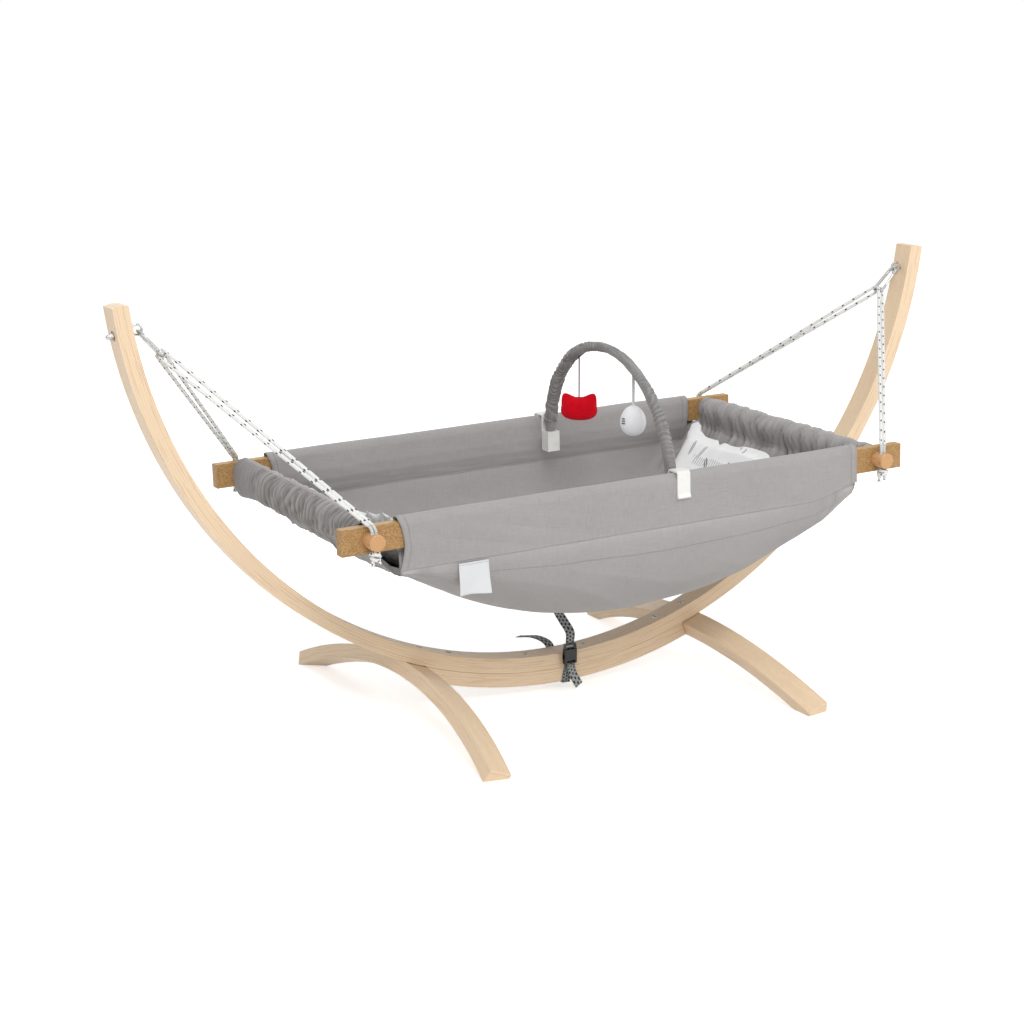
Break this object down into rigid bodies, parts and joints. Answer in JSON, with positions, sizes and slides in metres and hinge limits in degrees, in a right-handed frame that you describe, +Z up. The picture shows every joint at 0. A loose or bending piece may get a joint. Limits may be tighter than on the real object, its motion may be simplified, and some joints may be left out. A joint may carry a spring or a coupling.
{
  "type": "hammock cradle",
  "caption": "Baby hammock cradle: a grey canvas sling on two rails, hung by ropes in a bent plywood bow stand, with a toy arch and a safety strap.",
  "frame": {"origin": "on the floor under the middle of the bow", "axes": "+X along the bow to its right tip, +Y to the rear, +Z up"},
  "size_m": [1.502, 0.6862, 0.7001],
  "materials": {
    "plywood": "satin lacquered birch plywood",
    "speckled_board": "speckled cork-like board, satin",
    "bar_wood": "satin beech",
    "zinc": "zinc plated",
    "rope": "braided white rope with dark flecks",
    "canvas": "warm grey canvas",
    "label_cloth": "blank woven label",
    "pad_cotton": "white quilted cotton with a pale print",
    "arch_fabric": "grey melange fabric",
    "white_plastic": "smooth off-white",
    "red_plush": "red plush",
    "dark_string": "dark string",
    "white_plush": "white plush",
    "webbing": "grey webbing with black dots",
    "black_plastic": "black moulded plastic"
  },
  "bodies": {
    "stand": {"arm_left": "plywood", "arm_right": "plywood", "buckle_body": "black_plastic", "cap_nut_left": "zinc", "cap_nut_right": "zinc", "eye_bolt_left": "zinc", "eye_bolt_right": "zinc", "foot_left": "plywood", "foot_right": "plywood", "frame_bolt_left_inner": "zinc", "frame_bolt_left_middle": "zinc", "frame_bolt_left_outer": "zinc", "frame_bolt_right_inner": "zinc", "frame_bolt_right_middle": "zinc", "frame_bolt_right_outer": "zinc", "frame_nut_left_inner": "zinc", "frame_nut_left_middle": "zinc", "frame_nut_left_outer": "zinc", "frame_nut_right_inner": "zinc", "frame_nut_right_middle": "zinc", "frame_nut_right_outer": "zinc", "lower_strip": "plywood", "strap_loop": "webbing", "strap_tail": "webbing"},
    "cradle": {"carabiner_left": "zinc", "carabiner_right": "zinc", "cross_bar_left": "bar_wood", "cross_bar_right": "bar_wood", "end_sleeve_left": "canvas", "end_sleeve_right": "canvas", "knot_front_left": "rope", "knot_front_right": "rope", "knot_rear_left": "rope", "knot_rear_right": "rope", "label": "label_cloth", "pad": "pad_cotton", "rail_sleeve_front": "canvas", "rail_sleeve_rear": "canvas", "rope_front_left": "rope", "rope_front_right": "rope", "rope_rear_left": "rope", "rope_rear_right": "rope", "side_rail_front": "speckled_board", "side_rail_rear": "speckled_board", "sling": "canvas", "strap_upper": "webbing"},
    "gate_left": {"carabiner_gate_left": "zinc"},
    "gate_right": {"carabiner_gate_right": "zinc"},
    "toy_arch_set": {"toy_arch": "arch_fabric", "arch_clip_front": "white_plastic", "arch_clip_rear": "white_plastic"},
    "red_toy": {"red_toy_body": "red_plush", "red_toy_ear_front": "red_plush", "red_toy_ear_rear": "red_plush", "red_toy_string": "dark_string"},
    "white_toy": {"white_toy_body": "white_plush", "white_toy_ribbon": "white_plush"},
    "buckle_plug": {"buckle_latch": "black_plastic"}
  },
  "joints": [
    {"name": "cradle_swing", "type": "hinge", "parent": "stand", "child": "cradle", "pos_m": [0, 0, 0.65727], "axis": [1, 0, 0], "range_deg": [-6, 6], "deforming": ["strap_upper"]},
    {"name": "gate_left_open", "type": "hinge", "parent": "cradle", "child": "gate_left", "pos_m": [-0.6764, -0.01131, 0.63188], "axis": [-0.7383, 0.0201, -0.6741], "range_deg": [0, 28], "stiffness_Nm_per_rad": 0.05, "springref_deg": -14.32},
    {"name": "gate_right_open", "type": "hinge", "parent": "cradle", "child": "gate_right", "pos_m": [0.67528, -0.00982, 0.63239], "axis": [-0.7257, 0.0198, 0.6877], "range_deg": [0, 28], "stiffness_Nm_per_rad": 0.05, "springref_deg": -14.32},
    {"name": "arch_slide", "type": "slide", "parent": "cradle", "child": "toy_arch_set", "axis": [0.9993, -0.0272, 0.0265], "range_m": [-0.3, 0.25]},
    {"name": "red_toy_swing", "type": "hinge", "parent": "toy_arch_set", "child": "red_toy", "pos_m": [0.11059, 0.09983, 0.54878], "axis": [0.113, 0.9936, 0], "range_deg": [-35, 35]},
    {"name": "white_toy_swing", "type": "hinge", "parent": "toy_arch_set", "child": "white_toy", "pos_m": [0.08732, -0.10485, 0.54831], "axis": [0.113, 0.9936, 0], "range_deg": [-35, 35]},
    {"name": "buckle_release", "type": "slide", "parent": "stand", "child": "buckle_plug", "axis": [0, 0, 1], "range_m": [0, 0.018], "deforming": ["strap_upper"]}
  ]
}
